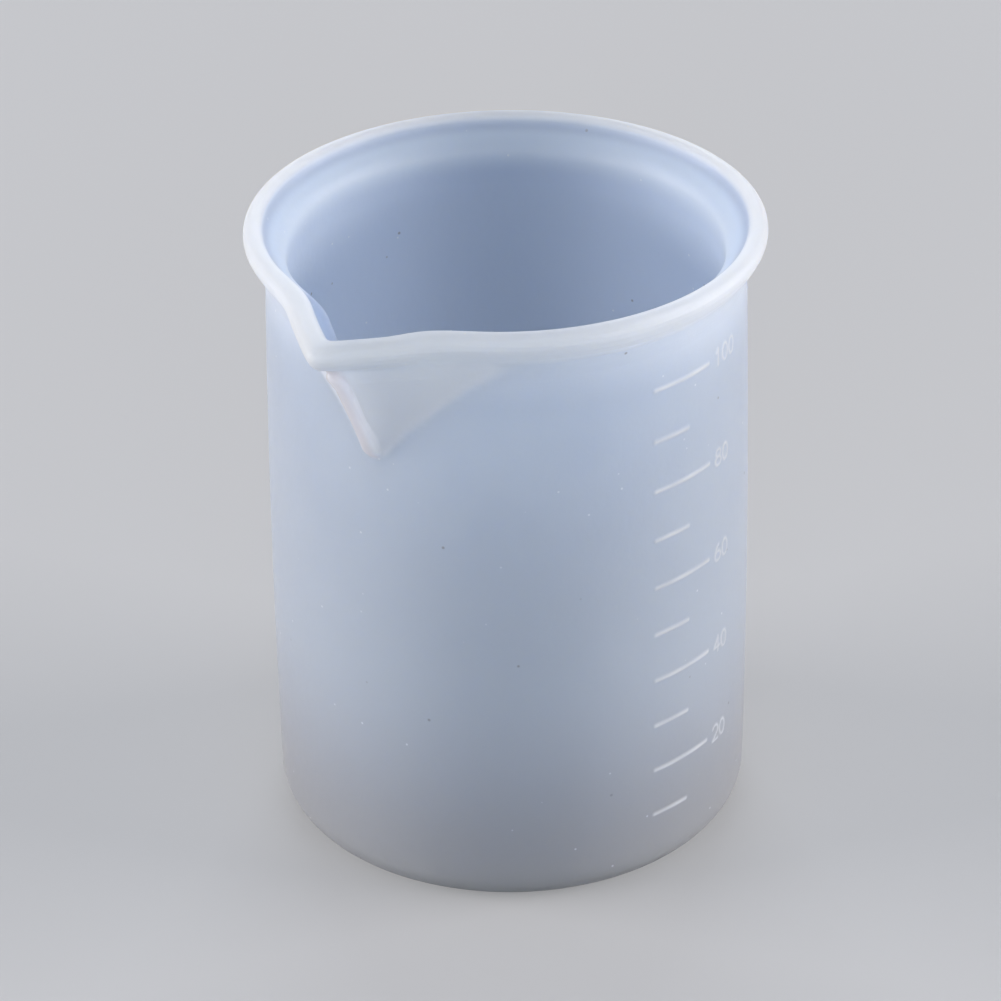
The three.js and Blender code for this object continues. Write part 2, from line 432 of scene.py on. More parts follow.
outside = np.arange(len(rim_line)) < rim_line[:, 1].argmax()
under_share = outside * ramp(-rim_line[:, 1], -UNDERSIDE_TOP, -UNDERSIDE_FULL)
rim_line = crown_line + under_share[:, None] * (under_line - crown_line)
rim_line = resample(rim_line, RIM_RING_GAP)
print("rim line:", len(rim_line), "rings, widest", rim_line[:, 0].max().round(2), "mm")

# %% [markdown]
# Heights of the scale
#
# The scale is ten raised marks, short and long in turn, at the heights that a further ten
# millilitres reach. They could be spaced by eye, but a measuring cup has to measure: we fill the
# inside in thin layers, add them up, and read off where each ten millilitres end.

# %% Heights of the marks
MARK_VOLUME = 10000.0
MARK_COUNT = 10
FILL_STEP = 0.02

fill_heights = np.arange(FLOOR_THICKNESS, NECK_HEIGHT, FILL_STEP)
filled = np.cumsum(math.pi * inner_radius(fill_heights) ** 2 * FILL_STEP)
mark_heights = np.interp(MARK_VOLUME * np.arange(1, MARK_COUNT + 1), filled, fill_heights)
print("marks at", mark_heights.round(1), "mm")

# %% [markdown]
# Rings up the wall
#
# The skin is a net of level rings and upright columns. An even net fine enough for the smallest
# figure would be far too heavy, and a subdivision surface would blur the figures, so rings crowd
# together only at the marks and where the bead on the spout's crease ends.

# %% Heights of the rings on the barrel
WALL_GAP = 0.75
MARK_GAP = 0.13
MARK_BAND = 0.62
FIGURE_BAND = 1.35
BEAD_END_BAND = (52.6, 55.6)
BEAD_END_GAP = 0.2
TINY = 1e-6


def stepped(stops):
    """A row of values through (start, gap) stops; the last stop only ends the row."""
    row = [
        np.linspace(start, end, max(1, math.ceil((end - start) / gap - TINY)), endpoint=False)
        for (start, gap), (end, _) in zip(stops, stops[1:])
        if end > start
    ]
    return np.concatenate(row)


ring_stops = [(FOOT_ROUNDING, WALL_GAP)]
for place_in_row, mark_height in enumerate(mark_heights):
    band = FIGURE_BAND if place_in_row % 2 else MARK_BAND
    ring_stops += [(mark_height - band, MARK_GAP), (mark_height + band, WALL_GAP)]
ring_stops.append((NECK_HEIGHT, WALL_GAP))
wall_heights = stepped(ring_stops)
bead_end_heights = np.arange(*BEAD_END_BAND, BEAD_END_GAP)
near_bead_end = np.abs(wall_heights[:, None] - bead_end_heights).min(axis=1) < BEAD_END_GAP / 2
wall_heights = np.sort(np.concatenate([wall_heights[~near_bead_end], bead_end_heights]))
print("rings on the barrel:", len(wall_heights))

# %% [markdown]
# The whole profile
#
# Now the runs are strung together in the order in which a finger would follow them: underside, foot,
# barrel, rim, inside wall, corner and floor. The middle of the underside and of the floor stay open
# for now, because a ring of no size would leave faces of no size.

# %% Profile from the underside to the floor
ARC_POINTS = 12
UNDERSIDE_POINTS = 7
INSIDE_POINTS = 44
FLOOR_POINTS = 8

foot_centre = wall_radius(FOOT_ROUNDING) - FOOT_ROUNDING
corner_top = FLOOR_THICKNESS + CORNER_ROUNDING
corner_centre = inner_radius(corner_top) - CORNER_ROUNDING
inside_heights = np.linspace(rim_line[-1, 1], corner_top, INSIDE_POINTS)[1:]
underside_radii = np.linspace(0, foot_centre, UNDERSIDE_POINTS)[1:-1]
floor_radii = np.linspace(corner_centre, 0, FLOOR_POINTS)[1:-1]
profile = np.concatenate([
    np.stack([underside_radii, np.zeros_like(underside_radii)], 1),
    arc(foot_centre, FOOT_ROUNDING, FOOT_ROUNDING, -90, 0, ARC_POINTS)[:-1],
    along_wall(wall_radius, wall_heights),
    rim_line,
    along_wall(inner_radius, inside_heights),
    arc(corner_centre, corner_top, CORNER_ROUNDING, 0, -90, ARC_POINTS)[1:],
    np.stack([floor_radii, np.full_like(floor_radii, FLOOR_THICKNESS)], 1),
])
first_wall_ring = len(underside_radii) + ARC_POINTS - 1
wall_rings = slice(first_wall_ring, first_wall_ring + len(wall_heights))
print("profile:", len(profile), "rings")

# %% [markdown]
# Columns round the cup
#
# Upright columns crowd together across the scale and over the spout, and most of all along its
# crease, where the bead is only about two millimetres wide. The face that is turned to the scale gets
# finer columns than the other, because its edge runs slanting across the net and would look stepped.
# Splitting faces by hand would do it too, but a list of gaps is easier to change.

# %% Columns of the net
SPOUT_AZIMUTH = 180.0
SPOUT_SIDE = 47
NEAR_FACE = 34
FAR_FACE = 14
CREASE_FROM = -2
CREASE_TO = 4.5
SCALE_FROM = 247.0
SCALE_TO = 289.0
WIDE_GAP = 2.0
SPOUT_GAP = 0.9
FACE_GAP = 0.45
CREASE_GAP = 0.15
SCALE_GAP = 0.32

columns = np.radians(stepped([
    (0, WIDE_GAP),
    (SPOUT_AZIMUTH - SPOUT_SIDE, SPOUT_GAP),
    (SPOUT_AZIMUTH - FAR_FACE, FACE_GAP),
    (SPOUT_AZIMUTH + CREASE_FROM, CREASE_GAP),
    (SPOUT_AZIMUTH + CREASE_TO, FACE_GAP),
    (SPOUT_AZIMUTH + NEAR_FACE, SPOUT_GAP),
    (SPOUT_AZIMUTH + SPOUT_SIDE, WIDE_GAP),
    (SCALE_FROM, SCALE_GAP),
    (SCALE_TO, WIDE_GAP),
    (360, WIDE_GAP),
]))
print("columns:", len(columns))

# %% [markdown]
# Spout
#
# The spout is two faces that lean out of the wall, meet in a straight crease and carry the lip out
# to a point. It could be sculpted, but a rule is exact: seen from above, each face is a straight
# line, so every point moves outwards along its own radius until it lies on that line. The lines
# stand a little inside the round lip, which is why the lip bends inwards before it runs out to the
# tip. Lower down they stand further in and meet at a blunter angle, until they sink into the wall.

# %% Lines of the spout's faces
SPOUT_REACH = 35.3
SPOUT_ANGLE = math.radians(43)
SPOUT_FOOT_ANGLE = math.radians(39)
SPOUT_DEPTH = 17.0
SPOUT_FOOT = HEIGHT - SPOUT_DEPTH
SPOUT_LIP_INSET = RIM_RADIUS - SPOUT_REACH * math.cos(SPOUT_ANGLE)
LIP_STEP = (66.3, 67.4)


def outside_radius(height):
    """Outside of barrel and flare, up to the underside of the lip."""
    capped = np.minimum(height, LIP_UNDERSIDE)
    return np.where(capped <= NECK_HEIGHT, wall_radius(capped), flare_radius(capped))


def along_spout(height):
    """0 at the foot of the spout, 1 at the underside of the lip."""
    return (height - SPOUT_FOOT) / (LIP_UNDERSIDE - SPOUT_FOOT)


def face_angle(height):
    """Angle by which each face is turned from the direction of the spout."""
    return SPOUT_FOOT_ANGLE + (SPOUT_ANGLE - SPOUT_FOOT_ANGLE) * np.clip(along_spout(height), 0, 1)


def spout_inset(height, ledge):
    """How far the faces stand inside the lines that would touch the round cup."""
    at_foot = wall_radius(SPOUT_FOOT)
    at_lip = (outside_radius(LIP_UNDERSIDE) - SPOUT_LIP_INSET) / math.cos(SPOUT_ANGLE) - ledge
    crease = at_foot + (at_lip - at_foot) * along_spout(height)
    below_lip = outside_radius(height) - crease * np.cos(face_angle(height))
    return below_lip + (SPOUT_LIP_INSET - below_lip) * ramp(height, *LIP_STEP)


print("faces leave the round lip", round(SPOUT_LIP_INSET, 2), "mm inside it")

# %% [markdown]
# Net of points
#
# Each point of the net has a radius, a height and an azimuth. On the real cup the crease isn't quite
# under the tip: below the lip it is turned aside by less than two degrees. The mesh could be twisted
# afterwards with a modifier, but that would turn the scale as well. A twist in the angle from the
# spout moves the spout alone.

# %% Radius, height and angle of every point
SPOUT_TWIST = math.radians(1.8)

radius = np.repeat(profile[:, :1], len(columns), axis=1)
height = np.repeat(profile[:, 1:], len(columns), axis=1)
azimuth = np.repeat(columns[None, :], len(profile), axis=0)
from_spout = (azimuth - math.radians(SPOUT_AZIMUTH) + math.pi) % (2 * math.pi) - math.pi
from_spout = from_spout - SPOUT_TWIST * (1 - ramp(height, NECK_HEIGHT, LIP_UNDERSIDE))
inside_ring = (np.arange(len(profile)) > profile[:, 1].argmax())[:, None]
print("net:", radius.shape[0], "rings by", radius.shape[1], "columns")

# %% [markdown]
# Draw the spout out
#
# The faces run into the wall with a soft hollow, which is wider inside the cup. The lip is a little
# thicker and lies a little lower along the spout, the wall below it is a little thinner, and right
# under the tip the faces step back in a small ledge. A boolean of two shapes would leave hard seams
# here. Taking the larger of two radii with a soft hollow doesn't.

# %% Pull the net out to the faces
SPOUT_HOLLOW = 1.5
SPOUT_HOLLOW_INSIDE = 5.0
SPOUT_THICKER = 0.5
SPOUT_THINNER = 0.7
SPOUT_LEDGE = 1.0
LEDGE_FROM = math.radians(5)
LEDGE_TO = math.radians(16)
SPOUT_DIP = 0.4
SPOUT_DIP_RUN = 3.0
CREASE_SOFTNESS = math.radians(1.1)


def larger(one, other, hollow):
    """The larger of two radii, with a soft hollow where one takes over from the other."""
    near = np.maximum(0, hollow - np.abs(one - other))
    return np.maximum(one, other) + near**2 / (4 * np.maximum(hollow, TINY))


in_lip = ramp(height, NECK_HEIGHT, LIP_UNDERSIDE)
ledge = SPOUT_LEDGE * (1 - ramp(np.abs(from_spout), LEDGE_FROM, LEDGE_TO))
inset = np.where(inside_ring, spout_inset(height, -SPOUT_THINNER), spout_inset(height, ledge))
thicker = SPOUT_THICKER * inside_ring * in_lip
soft_turn = np.hypot(from_spout, CREASE_SOFTNESS)
face_radius = (radius - inset - thicker) / np.cos(np.maximum(0, face_angle(height) - soft_turn))
wide_hollow = SPOUT_HOLLOW_INSIDE + (SPOUT_HOLLOW - SPOUT_HOLLOW_INSIDE) * in_lip
hollow = np.where(inside_ring, wide_hollow, np.minimum(SPOUT_HOLLOW, inset))
everywhere = np.maximum(0, hollow - inset - thicker) ** 2 / (4 * np.maximum(hollow, TINY))
drawn = larger(radius, face_radius, hollow) - everywhere
lowered = height - SPOUT_DIP * ramp(drawn - radius, 0, SPOUT_DIP_RUN)
print("spout reaches", drawn.max().round(2), "mm from the axis")

# %% [markdown]
# Bead on the crease
#
# A fine round bead runs down the crease, gets slightly thicker and ends bluntly at the spout's foot.
# At the top it sinks in under the lip. It could be a bevelled curve laid on the cup, but it is one
# with the wall, so its round section joins the net by the same rule as the faces.

# %% Lay the bead along the crease
BEAD_ROUNDING = 0.8
BEAD_DEPTH = 0.6
BEAD_HOLLOW = 0.1
BEAD_END = 0.35
BEAD_END_RUN = 7.0
BEAD_STOP = 53.5
BEAD_CAP = 1.3
BEAD_TOP = (65.4, 66.8)

bead_centre = (radius - inset) / np.cos(face_angle(height)) - BEAD_DEPTH
past_end = np.clip((BEAD_STOP + BEAD_CAP - height) / BEAD_CAP, 0, 1)
bead_rounding = BEAD_ROUNDING + BEAD_END * (1 - ramp(height, SPOUT_FOOT, SPOUT_FOOT + BEAD_END_RUN))
bead_rounding = bead_rounding * np.sqrt(1 - past_end**2) * (1 - ramp(height, *BEAD_TOP))
bead_half = bead_rounding**2 - (bead_centre * np.sin(from_spout)) ** 2
bead = bead_centre * np.cos(from_spout) + np.sqrt(np.maximum(0, bead_half))
has_bead = (bead_half > 0) & (np.abs(from_spout) < SPOUT_ANGLE) & ~inside_ring & (height < LIP_UNDERSIDE)
drawn = np.where(has_bead, larger(drawn, bead, BEAD_HOLLOW), drawn)
print("bead:", int(has_bead.sum()), "points of the net")

# %% [markdown]
# Figures
#
# Small raised figures stand beside the long marks. Text objects would bring a typeface with them, so
# the figures needed are drawn here from straight strokes and ovals, as an engraver would.

# %% Strokes of the figures
FIGURE_HEIGHT = 1.9
FIGURE_WIDTH = 1.15
FIGURE_PITCH = 1.55


def oval(centre, half_width, half_height, start=0, end=360, steps=20):
    """A row of points on an oval, between two angles in degrees."""
    angle = np.radians(np.linspace(start, end, steps))
    return [(centre[0] + half_width * np.cos(a), centre[1] + half_height * np.sin(a)) for a in angle]


FIGURE_STROKES = {
    "0": [oval((0.5, 0.5), 0.5, 0.5)],
    "1": [[(0.25, 0.78), (0.55, 1), (0.55, 0)]],
    "2": [oval((0.5, 0.7), 0.5, 0.3, 160, -40) + [(0, 0), (1, 0)]],
    "4": [[(0.72, 0), (0.72, 1), (0, 0.3), (1, 0.3)]],
    "6": [oval((0.5, 0.3), 0.5, 0.3), oval((0.9, 0.3), 0.9, 0.7, 180, 105, 10)],
    "8": [oval((0.5, 0.27), 0.5, 0.27), oval((0.5, 0.77), 0.42, 0.23)],
}


def figure_segments(text):
    """Short straight pieces of a number's strokes, in mm from its left end, centred in height."""
    starts, ends = [], []
    for place_in_text, figure in enumerate(text):
        for stroke in FIGURE_STROKES[figure]:
            points = np.array(stroke) * (FIGURE_WIDTH, FIGURE_HEIGHT)
            points = points + (place_in_text * FIGURE_PITCH, -FIGURE_HEIGHT / 2)
            starts.append(points[:-1])
            ends.append(points[1:])
    return np.concatenate(starts), np.concatenate(ends)


print("figures drawn:", ", ".join(FIGURE_STROKES))

# %% [markdown]
# Raised strokes
#
# A mark is a low rounded rib with rounded ends, and a figure is a finer one that follows a drawn
# line. They could be separate strips laid on the wall, but on the real cup they are cut into the mould
# and are one with the skin. So for every point of the wall we measure how far it lies from the
# nearest stroke, and a soft bump says how far to lift it.

# %% Helpers for raised strokes
RIB_SPREAD = 0.62
SHORTEST = 1e-9


def soft_bump(distance, width, relief):
    """A rounded rib, by the distance from its middle line."""
    share = np.clip(distance / (RIB_SPREAD * width), 0, 1)
    return relief * (0.5 + 0.5 * np.cos(math.pi * share))


def stroke_distance(across, up, starts, ends):
    """Distance of every point from the nearest of a row of straight pieces."""
    nearest = np.full(across.shape, np.inf)
    for (x0, y0), (x1, y1) in zip(starts, ends):
        run = max((x1 - x0) ** 2 + (y1 - y0) ** 2, SHORTEST)
        share = np.clip(((across - x0) * (x1 - x0) + (up - y0) * (y1 - y0)) / run, 0, 1)
        gap = np.hypot(across - x0 - share * (x1 - x0), up - y0 - share * (y1 - y0))
        nearest = np.minimum(nearest, gap)
    return nearest


print("a rib sinks into the wall at", RIB_SPREAD, "of its width from its middle")

# %% [markdown]
# Marks and figures on the wall
#
# All marks start on one upright line. On the real cup they are slightly uneven, so their relief
# wavers a little along their length. Random relief would do, but a slow wave gives the same marks
# every time. Every second mark is long and gets its number.

# %% Lift the marks and figures out of the wall
MARK_WIDTH = 0.6
MARK_RELIEF = 0.13
MARK_UNEVEN = 0.22
MARK_WAVE = 1.3
MARK_SHIFT = 2.4
SHORT_MARK = 5.2
LONG_MARK = 8.7
MARK_START = math.radians(360 - 110.8)
FIGURE_SPACE = 1.0
FIGURE_STROKE = 0.42
FIGURE_RELIEF = 0.10
CUBIC_MM = 1000

raised = np.zeros_like(drawn)
across = (azimuth[wall_rings] - MARK_START) * radius[wall_rings]
for place_in_row, mark_height in enumerate(mark_heights):
    is_long = place_in_row % 2 == 1
    length = LONG_MARK if is_long else SHORT_MARK
    up = profile[wall_rings, 1:] - mark_height
    end_inset = MARK_WIDTH / 2
    gap = stroke_distance(across, up, [(end_inset, 0)], [(length - end_inset, 0)])
    waver = 0.5 + 0.5 * np.sin(MARK_WAVE * across + MARK_SHIFT * place_in_row)
    mark = (1 - MARK_UNEVEN * waver) * soft_bump(gap, MARK_WIDTH, MARK_RELIEF)
    raised[wall_rings] = np.maximum(raised[wall_rings], mark)
    if is_long:
        number = str(int((place_in_row + 1) * MARK_VOLUME / CUBIC_MM))
        gap = stroke_distance(across - length - FIGURE_SPACE, up, *figure_segments(number))
        raised[wall_rings] = np.maximum(raised[wall_rings], soft_bump(gap, FIGURE_STROKE, FIGURE_RELIEF))
drawn = drawn + raised
print("highest relief:", raised.max().round(2), "mm,", int((raised > 0).sum()), "points lifted")

# %% [markdown]
# One closed skin
#
# The net is now turned into a mesh: four corners to a face, wrapped once round the cup, with a fan
# of triangles closing the middle of the underside and the middle of the floor. Faces must all look
# outwards, because a see-through material needs to know which side is silicone and which is air.

# %% Points and faces of the skin
ring_count, column_count = drawn.shape
points = np.stack([drawn * np.cos(azimuth), drawn * np.sin(azimuth), lowered], -1).reshape(-1, 3) * MM
points = np.concatenate([points, [[0, 0, 0], [0, 0, FLOOR_THICKNESS * MM]]])
underside_middle = len(points) - 2
floor_middle = len(points) - 1

ring, column = np.meshgrid(np.arange(ring_count - 1), np.arange(column_count), indexing="ij")
following = (column + 1) % column_count
quads = np.stack([
    ring * column_count + column,
    ring * column_count + following,
    (ring + 1) * column_count + following,
    (ring + 1) * column_count + column,
], -1).reshape(-1, 4)
around = np.arange(column_count)
beside = (around + 1) % column_count
last_ring = (ring_count - 1) * column_count
under_fan = np.stack([np.full(column_count, underside_middle), beside, around], -1)
floor_fan = np.stack([np.full(column_count, floor_middle), last_ring + around, last_ring + beside], -1)
print("faces:", len(quads), "with four corners and", len(under_fan) + len(floor_fan), "with three")

# %% [markdown]
# The cup as an object
#
# A mesh in Blender is only a shape. An object puts it into the scene. The faces are shaded smooth,
# so that the light runs evenly over the net.

# %% Build the mesh
cup_mesh = bpy.data.meshes.new("measuring_cup")
cup_mesh.from_pydata(points.tolist(), [], quads.tolist() + under_fan.tolist() + floor_fan.tolist())
cup_mesh.polygons.foreach_set("use_smooth", np.ones(len(cup_mesh.polygons), bool))
cup_mesh.update()
cup = bpy.data.objects.new("measuring_cup", cup_mesh)
scene.collection.objects.link(cup)
print("skin:", len(cup_mesh.vertices), "points,", len(cup_mesh.polygons), "faces")

# %% [markdown]
# Where the spout looks paler
#
# Light goes into milky silicone, wanders about inside and comes out again. Places that get light from
# two sides look whiter, such as the faces of the spout, and here that glow is painted light: the faces
# get a paler colour. The bead on the crease is a little warmer and greyer than they are, and the
# channel inside is darker, as painted shade. A painted image could hold this, but the net already
# knows how far each point lies inside a face, so a share from 0 to 1 is worked out for each.

# %% Shares of the spout's face, crease and channel
FACE_EDGE = -0.65
FACE_EDGE_AT_LIP = 0.3
FACE_EDGE_TURNED_AWAY = 0.0
FACE_EDGE_RISE = (SPOUT_FOOT + 9.5, LIP_UNDERSIDE - 1)
FACE_SOFTNESS = 0.3
FACE_START = (SPOUT_FOOT + 0.3, SPOUT_FOOT + 1.5)
CREASE_WIDTH = math.radians(1.5)
TIP_WIDTH = math.radians(2.4)
CREASE_SHARPNESS = 4
CREASE_START = (BEAD_STOP - 0.3, BEAD_STOP + 0.5)
CROWN = (69.1, 69.9)
CHANNEL_EDGE = (-1.6, 0.2)

ring_height = profile[:, 1:]
face_edge = FACE_EDGE - FACE_EDGE_AT_LIP * ramp(ring_height, *FACE_EDGE_RISE)
face_edge = np.where(from_spout < 0, FACE_EDGE_TURNED_AWAY, face_edge)
# Painted light: the spout's faces get a paler colour for the glow through them.
on_face = ramp(face_radius - radius - face_edge, -FACE_SOFTNESS, FACE_SOFTNESS)
on_face = on_face * (radius > WALL) * ramp(ring_height, *FACE_START)
crease_width = CREASE_WIDTH + (TIP_WIDTH - CREASE_WIDTH) * ramp(ring_height, NECK_HEIGHT, LIP_UNDERSIDE)
on_crease = np.exp(-((from_spout / crease_width) ** CREASE_SHARPNESS)) * ramp(ring_height, *CREASE_START)
on_crease = on_crease * (1 - ramp(ring_height, *LIP_STEP))
below_crown = 1 - ramp(ring_height, *CROWN)
# Painted shade: the channel inside the spout is made darker.
in_channel = ramp(face_radius - radius, *CHANNEL_EDGE) * below_crown
print("points on the spout's faces:", int((on_face > 0.5).sum()))

# %% [markdown]
# Zones by height
#
# The rest of the cup changes its tone with height, and most of that is painted light and shade.
# The lip and the top of the wall are painted paler, the wall is painted greyer downwards, and the
# foot and underside are painted darkest. Inside, the hollow is bluer, partly the cold tint of the
# silicone and partly painted cold shade, with a painted highlight as a pale ring on the shoulder,
# painted shade on a darker slope below the crown and painted light on a pale floor. Each share could
# be painted as a vertex colour. Here it is worked out and stored on the mesh as an attribute that the
# material can read.

# %% Store the zones on the mesh
LIP_FROM = 60.0
BAND_FROM = 65.9
BAND_FULL = 66.7
BAND_SHARE = 0.5
SLOPE = (68.0, 68.9)
SHOULDER_FOOT = (63.6, 65.4)
SHOULDER_TOP = (66.2, 67.6)
WELL_TOP = (3.0, 12.0)
FOOT_TOP = (3.0, 30.0)
LOW_TOP = (16.0, 64.0)
UNDER_TOP = (0.0, 5.0)


def on_inside(share):
    """A share for every point of the net that counts inside the cup only."""
    return np.where(inside_ring, share, 0) + np.zeros_like(drawn)


def on_outside(share):
    """A share for every point of the net that counts outside the cup only."""
    return np.where(inside_ring, 0, share) + np.zeros_like(drawn)


# Painted light: the upper wall and the lip are made paler towards the top.
painted_light_wide_band = (1 - BAND_SHARE) * ramp(ring_height, LIP_FROM, BAND_FULL)
painted_light_lip_band = painted_light_wide_band + BAND_SHARE * ramp(ring_height, BAND_FROM, BAND_FULL)
# Painted highlight: a pale ring on the inner shoulder.
painted_highlight_shoulder = ramp(ring_height, *SHOULDER_FOOT) - ramp(ring_height, *SHOULDER_TOP)
# Most of these shares carry painted light and painted shade into the colour of the cup.
zones = {
    # Partly the silicone's cold tint and partly painted cold shade over the whole inside.
    "hollow": on_inside(below_crown),
    # Painted light: the floor inside the cup is made pale.
    "painted_light_well": on_inside(1 - ramp(ring_height, *WELL_TOP)),
    "painted_highlight_shoulder": on_inside(painted_highlight_shoulder),
    # Painted shade: the slope below the inner crown is made darker.
    "painted_shade_slope": on_inside(ramp(ring_height, *SLOPE)),
    "painted_shade_channel": on_inside(in_channel),
    # Painted shade: the outside is made greyer and darker towards the bottom.
    "painted_shade_low": on_outside(1 - ramp(ring_height, *LOW_TOP)),
    "painted_shade_foot": on_outside(1 - ramp(ring_height, *FOOT_TOP)),
    "painted_shade_under": on_outside(1 - ramp(ring_height, *UNDER_TOP)),
    "painted_light_face": on_outside(on_face),
    "lip": on_inside(ramp(ring_height, *CROWN)) + on_outside(painted_light_lip_band),
    "rib": np.clip(raised / MARK_RELIEF, 0, 1),
    "crease": on_outside(on_crease),
}
for zone, share in zones.items():
    attribute = cup_mesh.attributes.new(zone, "FLOAT", "POINT")
    middles = [share[0, 0], share[-1, 0]]
    attribute.data.foreach_set("value", np.append(share.ravel(), middles).astype(np.float32))
print("zones:", {zone: int((share > 0.5).sum()) for zone, share in zones.items()})

# %% [markdown]
# Colours of the milk, and painted light and shade
#
# Silicone rubber of this kind is white and cloudy with a cold tint. The wall is never one flat
# colour: faint clouds a centimetre wide run through it. Each zone has its own colour, and most of
# these are painted light and shade, not the milk itself: the paler lip, spout faces, shoulder ring and
# inner floor are painted light, and the darker lower wall, foot, underside, slope and channel are
# painted shade. The bluer hollow is partly the cold tint and partly painted cold shade. The colours are
# mixed one after the other, so a later zone lies over an earlier one, as glazes do.

# %% Cloudy wall and zones
WALL_MILK = (0.47, 0.54, 0.67, 1)
WALL_CLOUD = (0.51, 0.58, 0.705, 1)
CLOUD_SCALE = 70
CLOUD_DETAIL = 3
CLOUD_EDGES = (0.35, 0.68)
ZONE_MILK_AND_PAINTED_LIGHT_AND_SHADE = {
    # Painted shade: the lower wall greyer, the foot darker and the underside darkest.
    "painted_shade_low": (0.46, 0.515, 0.60, 1),
    "painted_shade_foot": (0.33, 0.335, 0.35, 1),
    "painted_shade_under": (0.29, 0.295, 0.305, 1),
    # The inside: partly the silicone's cold tint, partly painted cold shade in a stronger blue.
    "hollow": (0.50, 0.60, 0.82, 1),
    # Painted light: a pale floor inside the cup.
    "painted_light_well": (0.88, 0.92, 1.0, 1),
    # Painted highlight on the inner shoulder.
    "painted_highlight_shoulder": (0.56, 0.66, 0.86, 1),
    # Painted shade on the inner slope below the crown.
    "painted_shade_slope": (0.36, 0.43, 0.58, 1),
    # Painted shade in the channel inside the spout.
    "painted_shade_channel": (0.30, 0.38, 0.54, 1),
    # Painted light: the spout's faces made paler.
    "painted_light_face": (0.76, 0.825, 1.0, 1),
    # Painted light: a paler lip and upper wall, and a paler crown inside.
    "lip": (0.74, 0.82, 1.0, 1),
    "rib": (0.70, 0.73, 0.78, 1),
    "crease": (0.58, 0.56, 0.59, 1),
}


def blend_in(tree, colour, share, milk):
    """Mixes a milk into a colour by a share."""
    blend = add_node(tree, "ShaderNodeMix", data_type="RGBA")
    blend.inputs["B"].default_value = milk
    tree.links.new(share, blend.inputs["Factor"])
    tree.links.new(colour, blend.inputs["A"])
    return blend.outputs["Result"]


def milk_colour(tree, place):
    """Clouds of the wall with the milk, painted light and painted shade of every zone laid over them."""
    clouds = add_node(tree, "ShaderNodeTexNoise", {"Scale": CLOUD_SCALE, "Detail": CLOUD_DETAIL})
    tree.links.new(place, clouds.inputs["Vector"])
    milk = tree.nodes.new("ShaderNodeValToRGB")
    for element, edge, tone in zip(milk.color_ramp.elements, CLOUD_EDGES, (WALL_MILK, WALL_CLOUD)):
        element.position = edge
        element.color = tone
    tree.links.new(clouds.outputs["Fac"], milk.inputs["Fac"])
    colour = milk.outputs["Color"]
    for zone, zone_milk_and_painted_light in ZONE_MILK_AND_PAINTED_LIGHT_AND_SHADE.items():
        share = add_node(tree, "ShaderNodeAttribute", attribute_name=zone)
        colour = blend_in(tree, colour, share.outputs["Fac"], zone_milk_and_painted_light)
    return colour


print("milks:", ", ".join(ZONE_MILK_AND_PAINTED_LIGHT_AND_SHADE))

# %% [markdown]
# Specks and bubbles
#
# A cup that has been used carries a few dark specks, and tiny bubbles of air stay in the rubber as
# pale dots. Particles would be far too much for this. A Voronoi texture is a crowd of cells with a
# point in each, so the places close to a point are small round dots.

# %% Dots in the silicone
SPECK = {"scale": 190, "size": 0.042, "milk": (0.24, 0.25, 0.28, 1), "strength": 0.8}
BUBBLE = {"scale": 360, "size": 0.060, "milk": (0.86, 0.89, 0.95, 1), "strength": 0.5}
DOT_CORE = 0.5


def add_dots(tree, place, colour, scale, size, milk, strength):
    """Small round dots of another milk, one to a cell and only where a cell is cut near its point."""
    cells = add_node(tree, "ShaderNodeTexVoronoi", {"Scale": scale})
    tree.links.new(place, cells.inputs["Vector"])
    dot = add_node(tree, "ShaderNodeMapRange", {
        "From Min": size,
        "From Max": DOT_CORE * size,
        "To Max": strength,
    })
    tree.links.new(cells.outputs["Distance"], dot.inputs["Value"])
    return blend_in(tree, colour, dot.outputs["Result"], milk)


print("dots: specks at", SPECK["scale"], "and bubbles at", BUBBLE["scale"], "cells to the metre")

# %% [markdown]
# Satin skin
#
# The skin of the cup is satin and never glossy, with a very fine grain, and fine level streaks run
# round the lip. Both could be sculpted, but they are far too small for the net. They come from noise
# that bends the light only: plain noise for the grain, and noise squeezed in height for the streaks.

# %% Grain and streaks
GRAIN_SCALE = 900
GRAIN_DETAIL = 4
SATIN = (0.46, 0.58)
GRAIN_BUMP = {"Strength": 0.25, "Distance": 0.0001}
STREAK_STRETCH = (70, 70, 2600)
STREAK_DETAIL = 2
STREAK_BUMP = {"Strength": 0.5, "Distance": 0.0002}


def satin_roughness(tree, grain):
    """Roughness that wavers with the grain."""
    satin = add_node(tree, "ShaderNodeMapRange", {"To Min": SATIN[0], "To Max": SATIN[1]})
    tree.links.new(grain, satin.inputs["Value"])
    return satin.outputs["Result"]


def lip_streaks(tree, place):
    """Level streaks that fade out below the lip."""
    stretch = add_node(tree, "ShaderNodeMapping", {"Scale": STREAK_STRETCH})
    streaks = add_node(tree, "ShaderNodeTexNoise", {"Scale": 1.0, "Detail": STREAK_DETAIL})
    on_lip = add_node(tree, "ShaderNodeAttribute", attribute_name="lip")
    depth = add_node(tree, "ShaderNodeMath", operation="MULTIPLY")
    tree.links.new(place, stretch.inputs["Vector"])
    tree.links.new(stretch.outputs["Vector"], streaks.inputs["Vector"])
    tree.links.new(streaks.outputs["Fac"], depth.inputs[0])
    tree.links.new(on_lip.outputs["Fac"], depth.inputs[1])
    return depth.outputs["Value"]


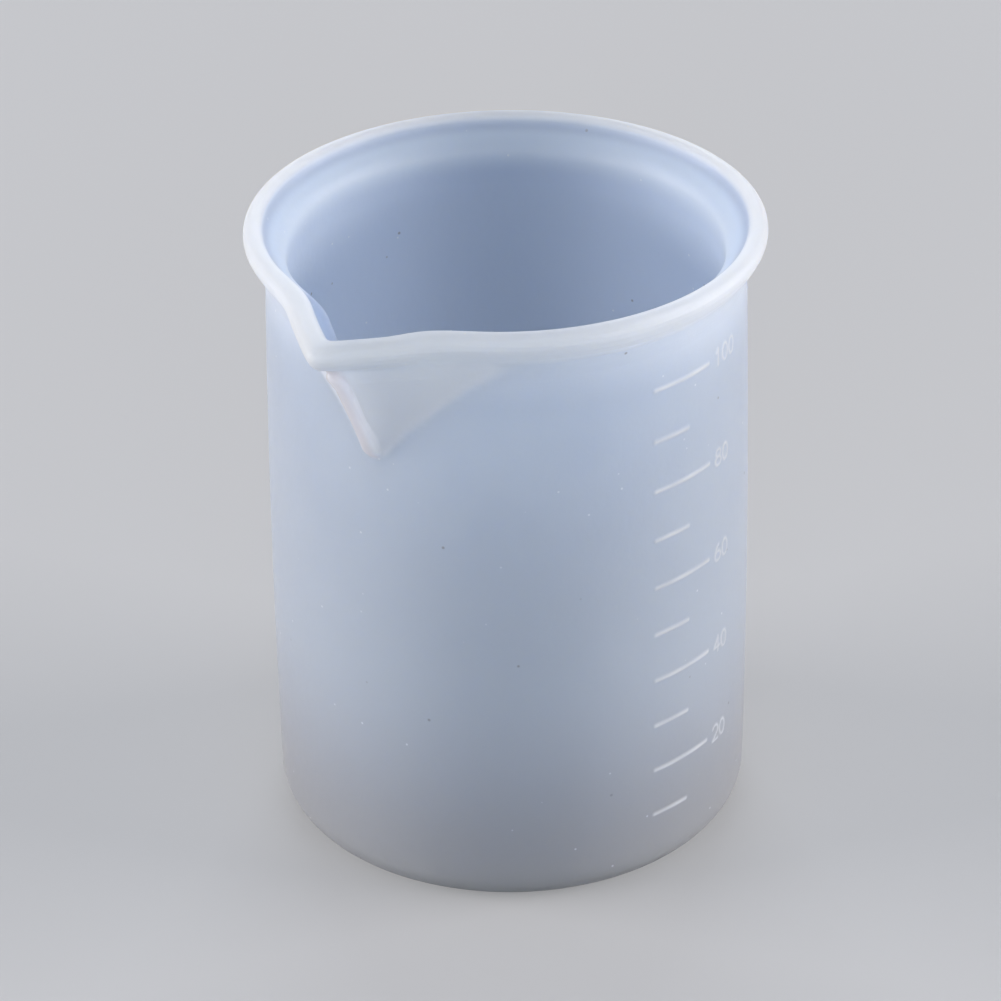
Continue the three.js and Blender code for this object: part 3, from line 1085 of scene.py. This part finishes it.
def skin_normal(tree, grain, streaks):
    """Grain all over, with the streaks on top."""
    fine = add_node(tree, "ShaderNodeBump", GRAIN_BUMP)
    level = add_node(tree, "ShaderNodeBump", STREAK_BUMP)
    tree.links.new(grain, fine.inputs["Height"])
    tree.links.new(streaks, level.inputs["Height"])
    tree.links.new(fine.outputs["Normal"], level.inputs["Normal"])
    return level.outputs["Normal"]


print("satin skin: roughness", SATIN[0], "to", SATIN[1])

# %% [markdown]
# Milky silicone
#
# A Principled shader gives the milk its depth. Subsurface scattering lets light wander about a
# centimetre, a little further for blue than for red, so the wall glows where a lamp stands behind it.
# A little rough transmission lets the brightest places shine through. A glass shader filled with mist
# would do the same more truly, but takes far longer to render and is lost in most exports.

# %% Silicone material
SILICONE_IOR = 1.41
SILICONE_SHINE = 0.35
WANDER_LENGTH = 0.0125
WANDER_BY_COLOUR = (1.0, 1.05, 1.2)
SEE_THROUGH = 0.18


def silicone_material():
    """Milky, cold white silicone with a satin skin."""
    material, tree, output = new_material("milky_silicone")
    shader = add_node(tree, "ShaderNodeBsdfPrincipled", {
        "IOR": SILICONE_IOR,
        "Specular IOR Level": SILICONE_SHINE,
        "Subsurface Weight": 1.0,
        "Subsurface Radius": WANDER_BY_COLOUR,
        "Subsurface Scale": WANDER_LENGTH,
        "Transmission Weight": SEE_THROUGH,
    })
    place = tree.nodes.new("ShaderNodeTexCoord").outputs["Object"]
    colour = milk_colour(tree, place)
    for dots in (SPECK, BUBBLE):
        colour = add_dots(tree, place, colour, **dots)
    grain = add_node(tree, "ShaderNodeTexNoise", {"Scale": GRAIN_SCALE, "Detail": GRAIN_DETAIL})
    tree.links.new(place, grain.inputs["Vector"])
    normal = skin_normal(tree, grain.outputs["Fac"], lip_streaks(tree, place))
    tree.links.new(colour, shader.inputs["Base Color"])
    tree.links.new(satin_roughness(tree, grain.outputs["Fac"]), shader.inputs["Roughness"])
    tree.links.new(normal, shader.inputs["Normal"])
    tree.links.new(shader.outputs["BSDF"], output.inputs["Surface"])
    return material


cup_mesh.materials.append(silicone_material())
print("material:", cup_mesh.materials[0].name)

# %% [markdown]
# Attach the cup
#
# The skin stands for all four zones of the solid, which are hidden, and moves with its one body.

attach(cup, "root")
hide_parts("base", "side_wall", "rim", "spout")
